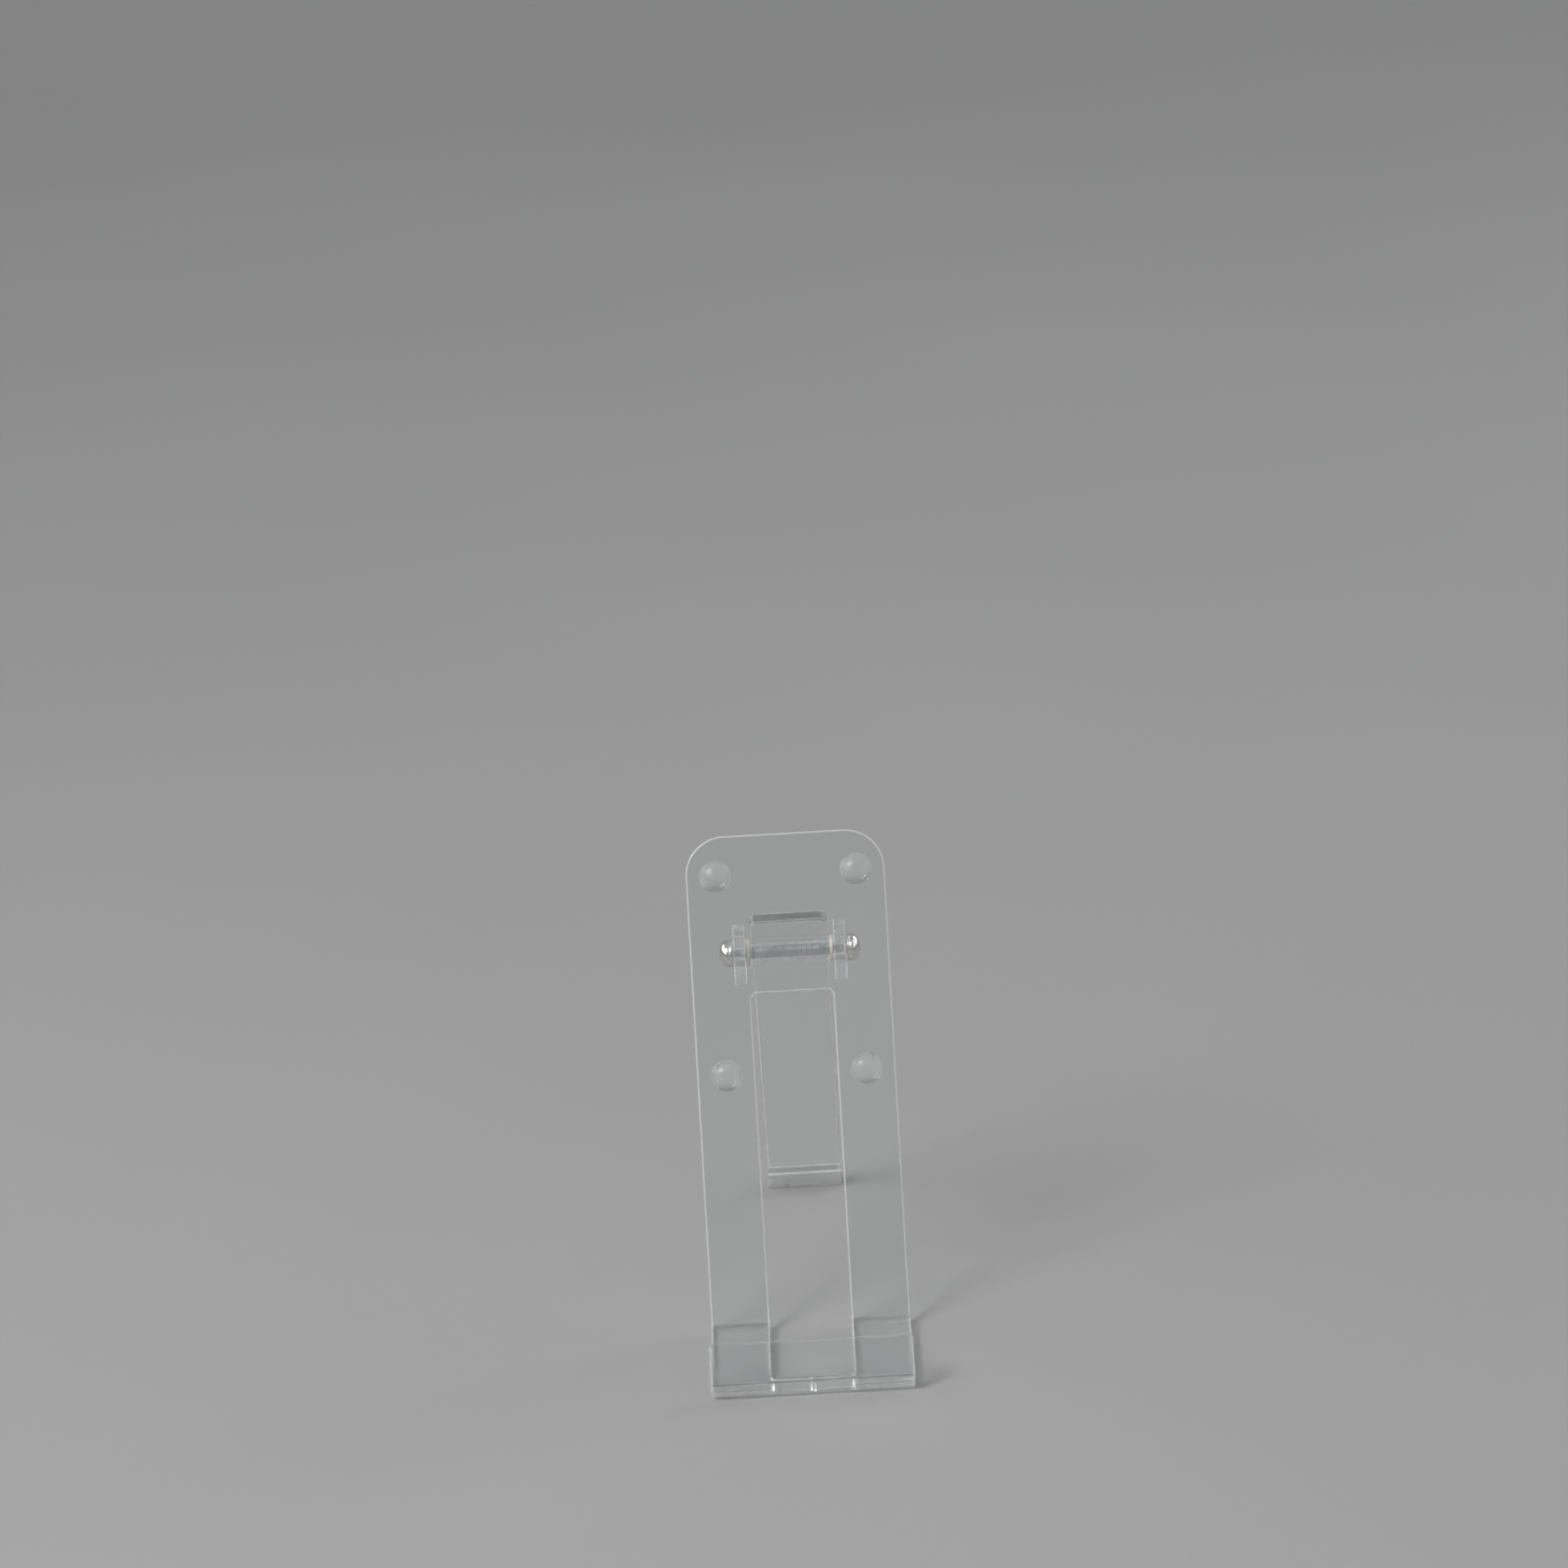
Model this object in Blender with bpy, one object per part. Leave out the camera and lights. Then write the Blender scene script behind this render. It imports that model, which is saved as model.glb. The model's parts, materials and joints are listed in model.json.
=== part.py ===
"""Clear acrylic plate display stand with a folding rear strut.

Units are metres, +Z up, +X across the stand, +Y from the front lip towards the rear strut.
The origin is the centre of the whole stand's footprint, on the surface it stands on.

The stand body is one strip of clear sheet, bent twice: a low front lip, a flat ledge that lies on the
table, and a back rest that leans back. A window runs from just behind the lip, round the rear bend and
up the back rest. The strut is the strip that the window gives; it hangs on a pin between two cheeks
behind the back rest, opens backwards until its top end meets the back rest, and folds forwards through
the window until its tip lies in the window's front end.
"""

import math

import bmesh
import bpy
from mathutils import Vector, geometry

MM = 0.001

# ---------------------------------------------------------------- driving dimensions, in millimetres
WIDTH = 50.0  # of the strip
SHEET = 3.0  # thickness of the clear sheet
LEAN = 16.0  # degrees that the lip and the back rest lean back
BEND_IN = 0.8  # inside radius of both bends
LIP_HEIGHT = 14.0  # top of the lip above the table
LEDGE_DEPTH = 40.0  # front of the lip to the face of the back rest, at the ledge
BACK_STRAIGHT = 122.0  # straight length of the back rest above its bend
TOP_CORNER = 10.0  # radius of the back rest's top corners
LIP_CORNER = 0.8  # radius of the lip's top corners

WINDOW_WIDTH = 20.5
WINDOW_FRONT = 6.5  # front wall of the window behind the front of the lip
WINDOW_CORNER = 1.5
NICK_WIDTH = 1.8  # cutter's entry nick in the window's front wall, a V that also narrows downwards
NICK_END = 0.5
NICK_LENGTH = 0.9
NICK_TAPER = 0.45  # its width under the ledge, as a share of its width on top

STRUT_WIDTH = 19.4
HINGE_UP = 92.0  # hinge axis, up the back rest's straight
HINGE_BACK = 4.5  # hinge axis behind the rear face of the back rest
STRUT_FACE = 3.0  # front face of the strut behind the hinge axis
STRUT_REACH = 108.5  # hinge axis to the strut's tip
STOP_GAP = 0.15  # between the open strut's head, which is the opening stop, and the back rest

PIN_R = 1.5
PIN_CLEAR = 0.1
BARREL_R = 3.5
BARREL_HALF = 9.7
WASHER_IN, WASHER_OUT = 10.0, 10.8  # both faces of each washer, from the middle of the pin
CHEEK_IN, CHEEK_OUT = 11.1, 14.1
CAP_IN, CAP_OUT = 14.4, 17.8
GLUE = 0.1  # cemented joints

TRIM_END, TRIM_SIDE, TRIM_UP = 1.0, 0.8, 5.0  # silicone trim over the strut's tip
TRIM_ROUND = 0.9

BUMPER_R, BUMPER_H = 4.0, 2.2
BUMPER_X = 17.6
BUMPER_UP = (62.0, 112.0)

# ---------------------------------------------------------------- derived geometry
A = math.radians(LEAN)
UP = (math.sin(A), math.cos(A))  # up the lip and the back rest, in (y, z)
BACK = (math.cos(A), -math.sin(A))  # out of their rear faces
R_MID = BEND_IN + SHEET / 2
R_OUT = BEND_IN + SHEET
C1 = (R_OUT, R_OUT)  # centre of the front bend
C2Z = SHEET + BEND_IN
# The back rest's front face, carried down to the ledge's top, is LEDGE_DEPTH behind the lip's front.
_down = (SHEET - (C2Z + BEND_IN * BACK[1])) / UP[1]
C2 = (LEDGE_DEPTH - BEND_IN * BACK[0] - _down * UP[0], C2Z)
TURN1 = math.radians(90.0 + LEAN)
TURN2 = math.radians(90.0 - LEAN)
LIP_STRAIGHT = (LIP_HEIGHT - (C1[1] + R_OUT * UP[0])) / UP[1]
SHELF_STRAIGHT = C2[0] - C1[0]

U_BEND1 = LIP_STRAIGHT
U_SHELF = U_BEND1 + R_MID * TURN1
U_BEND2 = U_SHELF + SHELF_STRAIGHT
U_BACK = U_BEND2 + R_MID * TURN2
U_END = U_BACK + BACK_STRAIGHT
U_WINDOW = U_SHELF + (WINDOW_FRONT - C1[0])
U_NICK = U_WINDOW - NICK_LENGTH

AXIS = (
    C2[0] + (R_OUT + HINGE_BACK) * BACK[0] + HINGE_UP * UP[0],
    C2[1] + (R_OUT + HINGE_BACK) * BACK[1] + HINGE_UP * UP[1],
)
# The open strut leans out from plumb until the front corner of its silicone tip stands on the table.
TIP = (STRUT_REACH + TRIM_END, STRUT_FACE - TRIM_SIDE)
G = math.acos(AXIS[1] / math.hypot(*TIP)) - math.atan2(TIP[1], TIP[0])
STRUT_HEAD = (HINGE_BACK + STRUT_FACE * math.cos(G + A) - STOP_GAP) / math.sin(G + A)
# The strut is the piece that the window gives, less the saw's and the polisher's cut.
U_WINDOW_TOP = U_WINDOW + STRUT_REACH + STRUT_HEAD + (WINDOW_WIDTH - STRUT_WIDTH)
DOWN_STRUT = (math.sin(G), -math.cos(G))  # from the hinge to the foot
BACK_STRUT = (math.cos(G), math.sin(G))  # out of the strut's rear face


def strut_point(q, r):
    """(y, z) of a point q below the hinge axis along the open strut and r behind the axis."""
    return (
        AXIS[0] + q * DOWN_STRUT[0] + r * BACK_STRUT[0],
        AXIS[1] + q * DOWN_STRUT[1] + r * BACK_STRUT[1],
    )


def trim_outline():
    """Section of the U of silicone over the strut's tip, as (r, q); its open side takes the sheet."""
    in0, in1 = STRUT_FACE - GLUE, STRUT_FACE + SHEET + GLUE
    out0, out1 = STRUT_FACE - TRIM_SIDE, STRUT_FACE + SHEET + TRIM_SIDE
    top, end = STRUT_REACH - TRIM_UP, STRUT_REACH + TRIM_END
    section = [(in0, top), (out0 + 0.3, top), (out0, top + 0.3), (out0, end)]
    for t in range(0, 91, 15):
        c, d = math.cos(math.radians(t)), math.sin(math.radians(t))
        section.append((out1 - TRIM_ROUND * (1 - d), end - TRIM_ROUND * (1 - c)))
    section += [(out1, top + 0.3), (out1 - 0.3, top), (in1, top)]
    section += [(in1, STRUT_REACH + GLUE), (in0, STRUT_REACH + GLUE)]
    return section


REAR = max(strut_point(q, r)[0] for r, q in trim_outline())
Y_MID = REAR / 2  # the footprint's middle, which is the origin


def world(x, y, z):
    return Vector((x * MM, (y - Y_MID) * MM, z * MM))


def bent(x, u, w):
    """World point of the strip: x across, u along it from the lip's top, w from its middle towards its outside."""
    if u <= U_BEND1:  # the lip, whose outside is its front face
        f = (C1[0] - R_MID * BACK[0], C1[1] - R_MID * BACK[1])
        y = f[0] + (U_BEND1 - u) * UP[0] - w * BACK[0]
        z = f[1] + (U_BEND1 - u) * UP[1] - w * BACK[1]
    elif u <= U_SHELF:
        a = math.pi - A + (u - U_BEND1) / R_MID
        r = R_MID + w
        y, z = C1[0] + r * math.cos(a), C1[1] + r * math.sin(a)
    elif u <= U_BEND2:
        y, z = C1[0] + (u - U_SHELF), SHEET / 2 - w
    elif u <= U_BACK:
        a = -math.pi / 2 + (u - U_BEND2) / R_MID
        r = R_MID + w
        y, z = C2[0] + r * math.cos(a), C2[1] + r * math.sin(a)
    else:
        r = R_MID + w
        y = C2[0] + r * BACK[0] + (u - U_BACK) * UP[0]
        z = C2[1] + r * BACK[1] + (u - U_BACK) * UP[1]
    return world(x, y, z)


# ---------------------------------------------------------------- helpers
def material(name, colour, roughness, metallic=0.0, transmission=0.0, ior=1.45):
    m = bpy.data.materials.get(name)
    if m:
        return m
    m = bpy.data.materials.new(name)
    m.use_nodes = True
    p = m.node_tree.nodes["Principled BSDF"]
    p.inputs["Base Color"].default_value = (*colour, 1.0)
    p.inputs["Roughness"].default_value = roughness
    p.inputs["Metallic"].default_value = metallic
    p.inputs["Transmission Weight"].default_value = transmission
    p.inputs["IOR"].default_value = ior
    return m


def acrylic():
    return material("clear_acrylic", (0.95, 0.97, 0.97), 0.03, 0.0, 1.0, 1.49)


def steel():
    return material("stainless_steel", (0.62, 0.62, 0.63), 0.25, 1.0)


def nickel():
    return material("nickel_plate", (0.72, 0.70, 0.66), 0.12, 1.0)


def silicone():
    return material("clear_silicone", (0.90, 0.91, 0.92), 0.35, 0.0, 0.6, 1.41)


def nylon():
    return material("natural_nylon", (0.86, 0.85, 0.80), 0.45, 0.0, 0.2, 1.53)


def place(name, mesh, mat, origin=None, parent=None):
    """Makes the object. Its mesh is in world space, and its origin moves to the given point."""
    o = bpy.data.objects.new(name, mesh)
    bpy.context.scene.collection.objects.link(o)
    mesh.materials.append(mat)
    if origin is not None:
        for v in mesh.vertices:
            v.co -= origin
        o.location = origin
    if parent is not None:
        o.parent = parent
        o.location = o.location - parent.location
    mesh.shade_smooth()
    mesh.set_sharp_from_angle(angle=math.radians(28))
    return o


def mesh_from(bm, name):
    bmesh.ops.recalc_face_normals(bm, faces=bm.faces)
    mesh = bpy.data.meshes.new(name)
    bm.to_mesh(mesh)
    bm.free()
    return mesh


def prism(name, loops, low, high, to_world):
    """A closed prism: loops[0] is the outline and the rest are holes, as (a, b); it runs from c = low to high.
    to_world turns (a, b, c) into a world point."""
    bm = bmesh.new()
    flat = [Vector((a, b, 0.0)) for loop in loops for a, b in loop]
    ends = [[bm.verts.new(to_world(p.x, p.y, c)) for p in flat] for c in (low, high)]
    caps = geometry.tessellate_polygon(
        [[Vector((a, b, 0.0)) for a, b in loop] for loop in loops]
    )
    for tri in caps:
        for end in ends:
            bm.faces.new([end[i] for i in tri])
    start = 0
    for loop in loops:
        n = len(loop)
        for i in range(n):
            j = start + (i + 1) % n
            k = start + i
            bm.faces.new([ends[0][k], ends[0][j], ends[1][j], ends[1][k]])
        start += n
    bmesh.ops.dissolve_limit(
        bm, angle_limit=1e-4, verts=bm.verts, edges=bm.edges, delimit=set()
    )
    bmesh.ops.triangulate(bm, faces=bm.faces)
    return mesh_from(bm, name)


def circle(cx, cy, r, n, start=0.0):
    return [
        (
            cx + r * math.cos(start + 2 * math.pi * i / n),
            cy + r * math.sin(start + 2 * math.pi * i / n),
        )
        for i in range(n)
    ]


def arc(cx, cy, r, a0, a1, n):
    """Points on an arc from a0 to a1 degrees, both ends included."""
    return [
        (
            cx + r * math.cos(math.radians(a0 + (a1 - a0) * i / n)),
            cy + r * math.sin(math.radians(a0 + (a1 - a0) * i / n)),
        )
        for i in range(n + 1)
    ]


def turned(name, profile, n, to_world, closed_profile=False):
    """A turned solid: profile is (r, c) from the axis out and back to it; to_world turns (a, b, c) into a world point."""
    bm = bmesh.new()
    rings = []
    for r, c in profile:
        if r < 1e-6:
            rings.append([bm.verts.new(to_world(0.0, 0.0, c))])
        else:
            rings.append([bm.verts.new(to_world(a, b, c)) for a, b in circle(0, 0, r, n)])
    pairs = list(zip(rings, rings[1:]))
    if closed_profile:
        pairs.append((rings[-1], rings[0]))
    for low, high in pairs:
        for i in range(n):
            j = (i + 1) % n
            if len(low) == 1 and len(high) == 1:
                continue
            if len(low) == 1:
                bm.faces.new([low[0], high[j], high[i]])
            elif len(high) == 1:
                bm.faces.new([low[i], low[j], high[0]])
            else:
                bm.faces.new([low[i], low[j], high[j], high[i]])
    bmesh.ops.triangulate(bm, faces=bm.faces)
    return mesh_from(bm, name)


# ---------------------------------------------------------------- the bent body
def quarter(radius, n):
    """(distance in from an end, half-width lost there) down a rounded corner."""
    return [
        (radius * (1 - math.cos(math.pi / 2 * i / n)), radius * (1 - math.sin(math.pi / 2 * i / n)))
        for i in range(n + 1)
    ]


def stations():
    """Rows of the strip as (u, half-width, window half-width, nick half-width, what is open in the cell row that follows)."""
    half, hole, nick = WIDTH / 2, WINDOW_WIDTH / 2, NICK_WIDTH / 2
    inner = hole - WINDOW_CORNER
    rows = []
    for d, lost in quarter(LIP_CORNER, 6):
        rows.append((d, half - lost, inner, nick, ""))
    for i in range(25):
        rows.append((U_BEND1 + R_MID * TURN1 * i / 24, half, inner, nick, ""))
    rows.append((U_NICK, half, inner, NICK_END / 2, "nick"))
    for d, lost in quarter(WINDOW_CORNER, 4):
        rows.append((U_WINDOW + d, half, hole - lost, nick, "window"))
    for i in range(19):
        rows.append((U_BEND2 + R_MID * TURN2 * i / 18, half, hole, nick, "window"))
    for d, lost in reversed(quarter(WINDOW_CORNER, 4)):
        rows.append((U_WINDOW_TOP - d, half, hole - lost, nick, "window"))
    rows[-1] = (*rows[-1][:4], "")
    for d, lost in reversed(quarter(TOP_CORNER, 16)):
        rows.append((U_END - d, half - lost, inner, nick, ""))
    return rows


def make_body():
    bm = bmesh.new()
    rows = stations()
    points = []
    for u, half, hole, nick, _ in rows:
        # each column's x on the inside and on the outside of the strip
        under = nick * NICK_TAPER
        xs = [(-half, -half), (-hole, -hole), (-nick, -under), (nick, under), (hole, hole), (half, half)]
        points.append(
            [
                [
                    bm.verts.new(bent(x_in, u, -SHEET / 2)),
                    bm.verts.new(bent(x_out, u, SHEET / 2)),
                ]
                for x_in, x_out in xs
            ]
        )

    def filled(i, j):
        if not 0 <= i < len(rows) - 1 or not 0 <= j < 5:
            return False
        open_here = rows[i][4]
        if open_here == "window":
            return j in (0, 4)
        if open_here == "nick":
            return j != 2
        return True

    for i in range(len(rows) - 1):
        for j in range(5):
            if not filled(i, j):
                continue
            a, b = points[i][j], points[i][j + 1]
            c, d = points[i + 1][j + 1], points[i + 1][j]
            bm.faces.new([a[0], b[0], c[0], d[0]])
            bm.faces.new([a[1], d[1], c[1], b[1]])
            if not filled(i - 1, j):
                bm.faces.new([a[0], a[1], b[1], b[0]])
            if not filled(i + 1, j):
                bm.faces.new([c[0], c[1], d[1], d[0]])
            if not filled(i, j - 1):
                bm.faces.new([a[0], d[0], d[1], a[1]])
            if not filled(i, j + 1):
                bm.faces.new([b[0], b[1], c[1], c[0]])
    loose = [v for v in bm.verts if not v.link_faces]
    bmesh.ops.delete(bm, geom=loose, context="VERTS")
    bmesh.ops.triangulate(bm, faces=bm.faces)
    place("stand_body", mesh_from(bm, "stand_body"), acrylic())


# ---------------------------------------------------------------- the hinge on the back rest
def back_point(up, back):
    """(y, z) of a point up the back rest's straight and back from its rear face."""
    return (
        C2[0] + (R_OUT + back) * BACK[0] + up * UP[0],
        C2[1] + (R_OUT + back) * BACK[1] + up * UP[1],
    )


def make_cheeks():
    """Two rounded lugs cemented to the rear face, each with a hole for the pin."""
    eye = 5.0
    foot = 7.5
    outline = [(HINGE_UP - foot, GLUE), (HINGE_UP + foot, GLUE), (HINGE_UP + foot, GLUE + 1.2)]
    outline += arc(HINGE_UP, HINGE_BACK, eye, 35, 145, 12)
    outline += [(HINGE_UP - foot, GLUE + 1.2)]
    hole = circle(HINGE_UP, HINGE_BACK, PIN_R + PIN_CLEAR, 28)[::-1]
    for name, low in (("hinge_cheek_left", -CHEEK_OUT), ("hinge_cheek_right", CHEEK_IN)):
        mesh = prism(
            name,
            [outline, hole],
            low,
            low + CHEEK_OUT - CHEEK_IN,
            lambda a, b, c: world(c, *back_point(a, b)),
        )
        place(name, mesh, acrylic())


def on_axis(a, b, c):
    """World point c along the hinge axis and (a, b) from it."""
    return world(c, AXIS[0] + a, AXIS[1] + b)


def make_pin():
    half, chamfer = 16.2, 0.3
    profile = [
        (0.0, -half),
        (PIN_R - chamfer, -half),
        (PIN_R, -half + chamfer),
        (PIN_R, half - chamfer),
        (PIN_R - chamfer, half),
        (0.0, half),
    ]
    place("hinge_pin", turned("hinge_pin", profile, 28, on_axis), steel(), on_axis(0, 0, 0))

    bore = PIN_R + PIN_CLEAR
    cap = [
        (0.0, half + 0.3),
        (bore, half + 0.3),
        (bore, CAP_IN),
        (3.3, CAP_IN),
        (3.5, CAP_IN + 0.2),
        (3.5, CAP_IN + 0.9),
    ]
    cap += [
        (3.5 * math.cos(math.radians(t)), CAP_IN + 0.9 + (CAP_OUT - CAP_IN - 0.9) * math.sin(math.radians(t)))
        for t in (15, 30, 45, 60, 75)
    ]
    cap += [(0.0, CAP_OUT)]
    for name, side in (("pin_cap_left", -1), ("pin_cap_right", 1)):
        mesh = turned(name, cap, 28, lambda a, b, c, s=side: on_axis(a, b, s * c))
        place(name, mesh, nickel(), on_axis(0, 0, side * CAP_IN))


def make_bumpers():
    """Clear domes on the front face of the back rest, which the plate leans on."""
    ball = (BUMPER_R**2 + BUMPER_H**2) / (2 * BUMPER_H)
    dome = [(0.0, 0.0), (BUMPER_R - 0.15, 0.0), (BUMPER_R, 0.25)]
    for i in range(1, 7):
        h = 0.25 + (BUMPER_H - 0.25) * math.sin(math.pi / 2 * i / 7)
        dome.append((math.sqrt(max(ball**2 - (ball - BUMPER_H + h) ** 2, 0.0)), h))
    dome.append((0.0, BUMPER_H))
    for level, up in zip(("lower", "upper"), BUMPER_UP):
        for side, x in (("left", -BUMPER_X), ("right", BUMPER_X)):
            name = f"plate_bumper_{level}_{side}"

            def at(a, b, c, x=x, up=up):
                return world(x + a, *back_point(up + b, -SHEET - GLUE - c))

            place(name, turned(name, dome, 24, at), silicone(), at(0, 0, 0))


# ---------------------------------------------------------------- the strut, which turns about the pin
def make_strut():
    hinge = bpy.data.objects.new("strut_axis", None)
    bpy.context.scene.collection.objects.link(hinge)
    hinge.location = on_axis(0, 0, 0)

    half, tip, top = STRUT_WIDTH / 2, 1.3, 2.0
    outline = (
        arc(half - tip, STRUT_REACH - tip, tip, 0, 90, 4)
        + arc(-half + tip, STRUT_REACH - tip, tip, 90, 180, 4)
        + arc(-half + top, -STRUT_HEAD + top, top, 180, 270, 4)
        + arc(half - top, -STRUT_HEAD + top, top, 270, 360, 4)
    )
    mesh = prism(
        "strut_leg",
        [outline],
        STRUT_FACE,
        STRUT_FACE + SHEET,
        lambda a, b, c: world(a, *strut_point(b, c)),
    )
    place("strut_leg", mesh, acrylic(), on_axis(0, 0, 0), hinge)

    flat = STRUT_FACE - GLUE
    start = math.degrees(math.acos(flat / BARREL_R))
    barrel = arc(0, 0, BARREL_R, start, 360 - start, 30)
    hole = circle(0, 0, PIN_R + PIN_CLEAR, 28)[::-1]
    mesh = prism(
        "strut_barrel",
        [barrel, hole],
        -BARREL_HALF,
        BARREL_HALF,
        lambda a, b, c: world(c, *strut_point(b, a)),
    )
    place("strut_barrel", mesh, acrylic(), on_axis(0, 0, 0), hinge)

    ring = [
        (PIN_R + PIN_CLEAR + 0.05, WASHER_IN),
        (BARREL_R - 0.1, WASHER_IN),
        (BARREL_R - 0.1, WASHER_OUT),
        (PIN_R + PIN_CLEAR + 0.05, WASHER_OUT),
    ]
    for name, side in (("thrust_washer_left", -1), ("thrust_washer_right", 1)):
        mesh = turned(name, ring, 28, lambda a, b, c, s=side: on_axis(a, b, s * c), True)
        place(name, mesh, nylon(), on_axis(0, 0, 0), hinge)

    mesh = prism(
        "strut_foot_trim",
        [trim_outline()],
        -STRUT_WIDTH / 2,
        STRUT_WIDTH / 2,
        lambda a, b, c: world(c, *strut_point(b, a)),
    )
    place("strut_foot_trim", mesh, silicone(), on_axis(0, 0, 0), hinge)


def main():
    for o in list(bpy.data.objects):
        bpy.data.objects.remove(o, do_unlink=True)
    make_body()
    make_cheeks()
    make_pin()
    make_bumpers()
    make_strut()
    print("hinge axis (m):", [round(v, 6) for v in on_axis(0, 0, 0)])
    print("origin behind the lip (mm):", round(Y_MID, 4), "window top up the back rest:", round(U_WINDOW_TOP - U_BACK, 3))
    print("open angle (deg):", round(math.degrees(G), 3), "strut head (mm):", round(STRUT_HEAD, 3))


main()
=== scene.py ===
"""Looks of the clear acrylic plate stand: polished sheet, hinge hardware, silicone pads, a pale sweep and soft light."""

import json
import math

import bmesh
import bpy
from mathutils import Matrix, Vector, geometry

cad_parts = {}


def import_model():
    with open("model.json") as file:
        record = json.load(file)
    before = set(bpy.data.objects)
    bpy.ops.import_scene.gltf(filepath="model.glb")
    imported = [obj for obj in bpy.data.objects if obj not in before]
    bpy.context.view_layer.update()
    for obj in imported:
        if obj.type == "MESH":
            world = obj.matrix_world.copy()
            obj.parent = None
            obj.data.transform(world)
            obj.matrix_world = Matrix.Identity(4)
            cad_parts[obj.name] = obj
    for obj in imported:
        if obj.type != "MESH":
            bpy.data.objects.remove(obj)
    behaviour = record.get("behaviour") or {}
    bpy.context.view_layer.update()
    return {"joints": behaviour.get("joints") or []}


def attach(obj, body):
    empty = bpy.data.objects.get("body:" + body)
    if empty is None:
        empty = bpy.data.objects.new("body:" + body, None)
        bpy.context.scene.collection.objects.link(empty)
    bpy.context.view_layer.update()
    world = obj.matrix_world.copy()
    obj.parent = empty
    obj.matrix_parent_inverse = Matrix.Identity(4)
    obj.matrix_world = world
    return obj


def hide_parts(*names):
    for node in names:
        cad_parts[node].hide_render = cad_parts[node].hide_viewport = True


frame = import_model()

MM = 0.001

# ---------------------------------------------------------------- the stand's dimensions, in millimetres
WIDTH, SHEET, LEAN = 50.0, 3.0, 16.0
BEND_IN, LIP_HEIGHT, LEDGE_DEPTH, BACK_STRAIGHT = 0.8, 14.0, 40.0, 122.0
TOP_CORNER, LIP_CORNER = 10.0, 0.8
WINDOW_WIDTH, WINDOW_FRONT, WINDOW_CORNER = 20.5, 6.5, 1.5
NICK_WIDTH, NICK_END, NICK_LENGTH, NICK_TAPER = 1.8, 0.5, 0.9, 0.45
STRUT_WIDTH, HINGE_UP, HINGE_BACK, STRUT_FACE, STRUT_REACH, STOP_GAP = 19.4, 92.0, 4.5, 3.0, 108.5, 0.15
PIN_R, PIN_CLEAR, PIN_HALF, BARREL_R, BARREL_HALF = 1.5, 0.1, 16.2, 3.5, 9.7
WASHER_IN, WASHER_OUT, CHEEK_IN, CHEEK_OUT, CAP_IN, CAP_OUT = 10.0, 10.8, 11.1, 14.1, 14.4, 17.8
GLUE = 0.1
RIM = 0.48  # polished rims of the sheet
TRIM_END, TRIM_SIDE, TRIM_UP, TRIM_ROUND = 1.0, 0.8, 5.0, 0.9
BUMPER_R, BUMPER_H, BUMPER_X, BUMPER_UP = 4.0, 2.2, 17.6, (62.0, 112.0)

A = math.radians(LEAN)
UP = (math.sin(A), math.cos(A))
BACK = (math.cos(A), -math.sin(A))
R_MID, R_OUT = BEND_IN + SHEET / 2, BEND_IN + SHEET
C1 = (R_OUT, R_OUT)
C2Z = SHEET + BEND_IN
C2 = (
    LEDGE_DEPTH - BEND_IN * BACK[0] - (SHEET - (C2Z + BEND_IN * BACK[1])) / UP[1] * UP[0],
    C2Z,
)
TURN1, TURN2 = math.radians(90 + LEAN), math.radians(90 - LEAN)
U_BEND1 = (LIP_HEIGHT - (C1[1] + R_OUT * UP[0])) / UP[1]
U_SHELF = U_BEND1 + R_MID * TURN1
U_BEND2 = U_SHELF + C2[0] - C1[0]
U_BACK = U_BEND2 + R_MID * TURN2
U_END = U_BACK + BACK_STRAIGHT
U_WINDOW = U_SHELF + WINDOW_FRONT - C1[0]
U_NICK = U_WINDOW - NICK_LENGTH
AXIS = (
    C2[0] + (R_OUT + HINGE_BACK) * BACK[0] + HINGE_UP * UP[0],
    C2[1] + (R_OUT + HINGE_BACK) * BACK[1] + HINGE_UP * UP[1],
)
TIP = (STRUT_REACH + TRIM_END, STRUT_FACE - TRIM_SIDE)
G = math.acos(AXIS[1] / math.hypot(*TIP)) - math.atan2(TIP[1], TIP[0])
STRUT_HEAD = (HINGE_BACK + STRUT_FACE * math.cos(G + A) - STOP_GAP) / math.sin(G + A)
U_WINDOW_TOP = U_WINDOW + STRUT_REACH + STRUT_HEAD + (WINDOW_WIDTH - STRUT_WIDTH)
DOWN_STRUT = (math.sin(G), -math.cos(G))
BACK_STRUT = (math.cos(G), math.sin(G))

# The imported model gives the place: the hinge axis ties these coordinates to the frame.
HINGE = Vector(frame["joints"][0]["pos_m"])
Y_SHIFT = HINGE.y / MM - AXIS[0]


def world(x, y, z):
    return Vector((x * MM, (y + Y_SHIFT) * MM, z * MM))


def bent(x, u, w):
    """World point of the strip: x across, u along it from the lip's top, w from its middle to its outside."""
    if u <= U_BEND1:
        y = C1[0] - R_MID * BACK[0] + (U_BEND1 - u) * UP[0] - w * BACK[0]
        z = C1[1] - R_MID * BACK[1] + (U_BEND1 - u) * UP[1] - w * BACK[1]
    elif u <= U_SHELF:
        a, r = math.pi - A + (u - U_BEND1) / R_MID, R_MID + w
        y, z = C1[0] + r * math.cos(a), C1[1] + r * math.sin(a)
    elif u <= U_BEND2:
        y, z = C1[0] + (u - U_SHELF), SHEET / 2 - w
    elif u <= U_BACK:
        a, r = -math.pi / 2 + (u - U_BEND2) / R_MID, R_MID + w
        y, z = C2[0] + r * math.cos(a), C2[1] + r * math.sin(a)
    else:
        r = R_MID + w
        y = C2[0] + r * BACK[0] + (u - U_BACK) * UP[0]
        z = C2[1] + r * BACK[1] + (u - U_BACK) * UP[1]
    return world(x, y, z)


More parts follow.
